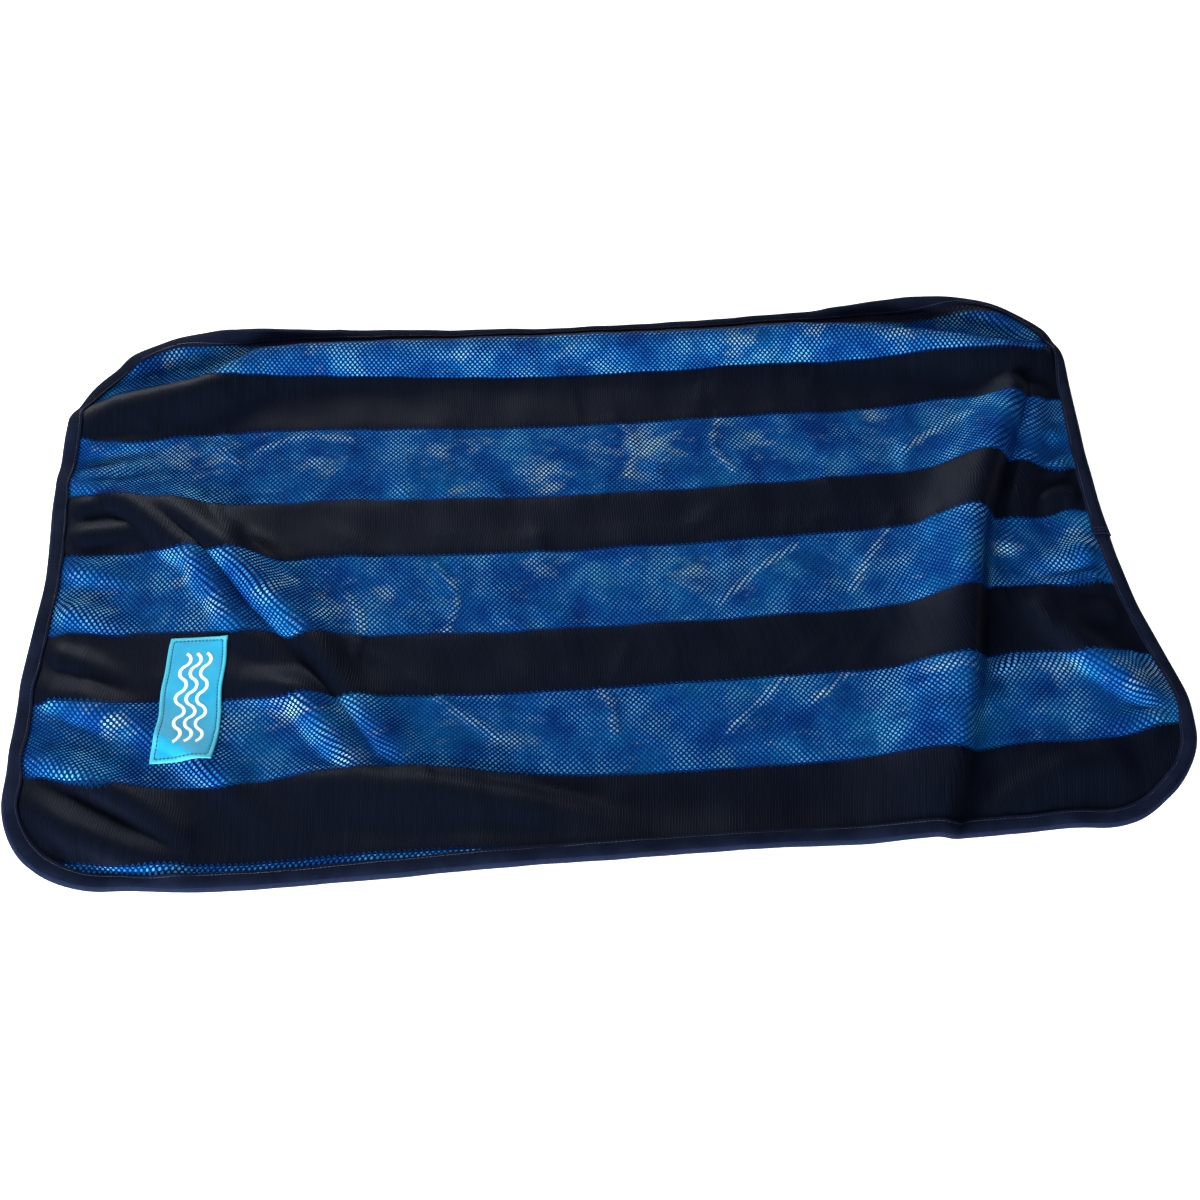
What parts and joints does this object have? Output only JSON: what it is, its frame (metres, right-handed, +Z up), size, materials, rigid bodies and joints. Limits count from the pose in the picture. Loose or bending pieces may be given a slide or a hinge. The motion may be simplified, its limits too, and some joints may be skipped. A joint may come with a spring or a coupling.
{
  "type": "striped cooling sheet",
  "caption": "Rectangular cooling cloth for a horse with rounded corners, bound all round, in bands of open net and dense ribbed knit over an absorbent lining, with a small sewn label.",
  "frame": {"origin": "middle of the resting sheet's box, at floor height", "axes": "+X along the bands and the long edges, +Y to the far long edge, away from the label, +Z up, off the floor"},
  "size_m": [0.8, 0.488, 0.0253],
  "materials": {
    "net": "open knitted polyester net in mid blue, small diamond holes, soft sheen",
    "knit": "dense ribbed knit in near-black navy, fine upright ribs, soft sheen",
    "lining": "pale blue absorbent non-woven lining, matt",
    "backing": "plain navy knitted back cloth, matt",
    "binding": "navy folded binding tape, fine rib, slight sheen",
    "thread": "navy sewing thread, slight sheen",
    "label": "light blue satin-woven label, soft gloss",
    "label_thread": "dark teal sewing thread",
    "motif": "white woven wave lines, soft gloss"
  },
  "bodies": {
    "root": {"net_band_1": "net", "net_band_2": "net", "net_band_3": "net", "net_band_4": "net", "net_band_5": "net", "knit_band_1": "knit", "knit_band_2": "knit", "knit_band_3": "knit", "knit_band_4": "knit", "cooling_lining": "lining", "back_cloth": "backing", "binding_tape": "binding", "binding_lap": "binding", "binding_needle_thread": "thread", "binding_bobbin_thread": "thread", "lap_tack": "thread", "label": "label", "label_thread": "label_thread", "label_motif": "motif"}
  },
  "joints": []
}
